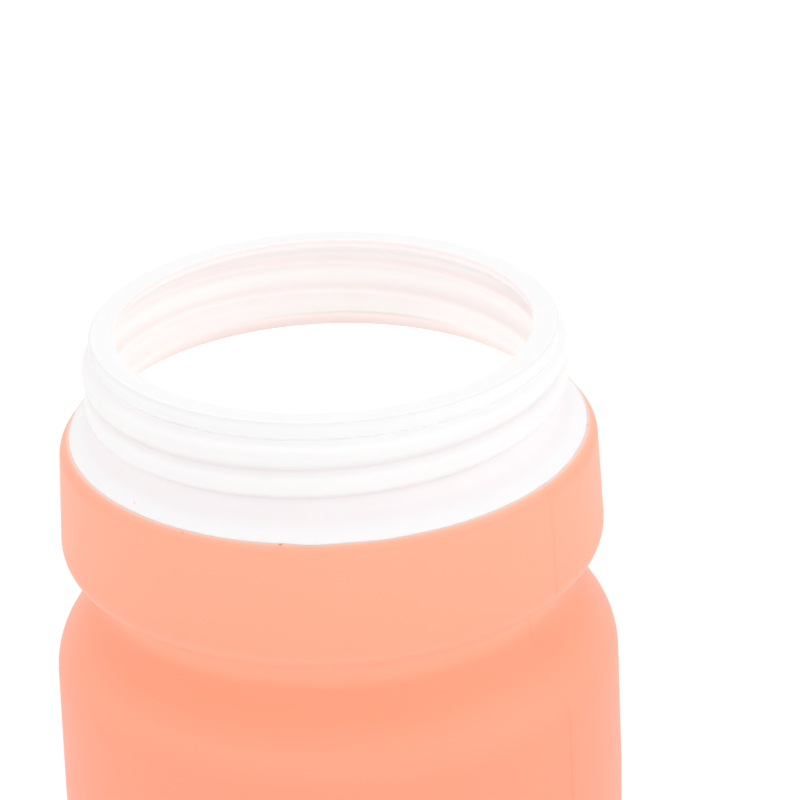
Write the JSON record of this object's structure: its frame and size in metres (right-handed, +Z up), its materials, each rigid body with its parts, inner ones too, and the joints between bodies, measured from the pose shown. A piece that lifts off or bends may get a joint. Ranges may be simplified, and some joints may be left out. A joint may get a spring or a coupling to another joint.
{
  "type": "cycling water bottle",
  "caption": "Open squeeze bottle with a threaded wide neck, a cage groove under its neck band, and its screw lid with a push-pull nozzle standing beside it.",
  "frame": {"origin": "on the standing surface, under the middle of the pair of bottle and lid; the bottle's axis is at x = -0.0385 and the lid's axis at x = 0.04315, both at y = 0", "axes": "+Z up along both axes, +X from the bottle towards the lid, -Y towards the viewer"},
  "size_m": [0.1512, 0.0742, 0.158],
  "materials": {
    "white_polyethylene": "satin, slightly translucent white polyethylene",
    "coral_coating": "satin coral coating",
    "coral_polypropylene": "satin coral moulded plastic",
    "white_seal_rubber": "matt white sealing rubber",
    "white_polypropylene": "satin white moulded plastic",
    "clear_silicone": "milky silicone",
    "white_nozzle_plastic": "satin white moulded plastic",
    "soft_white_rubber": "soft matt white elastomer"
  },
  "bodies": {
    "bottle": {"bottle_body": "white_polyethylene", "coral_coat": "coral_coating"},
    "lid": {"lid_shell": "coral_polypropylene", "lid_gasket": "white_seal_rubber", "valve_post": "white_polypropylene", "nozzle_seal": "clear_silicone"},
    "nozzle": {"nozzle": "white_nozzle_plastic", "mouthpiece": "soft_white_rubber"}
  },
  "joints": [
    {"name": "lid_lift", "type": "slide", "parent": "bottle", "child": "lid", "axis": [0, 0, 1], "range_m": [0, 0.2]},
    {"name": "nozzle_pull", "type": "slide", "parent": "lid", "child": "nozzle", "axis": [0, 0, 1], "range_m": [0, 0.006]}
  ]
}
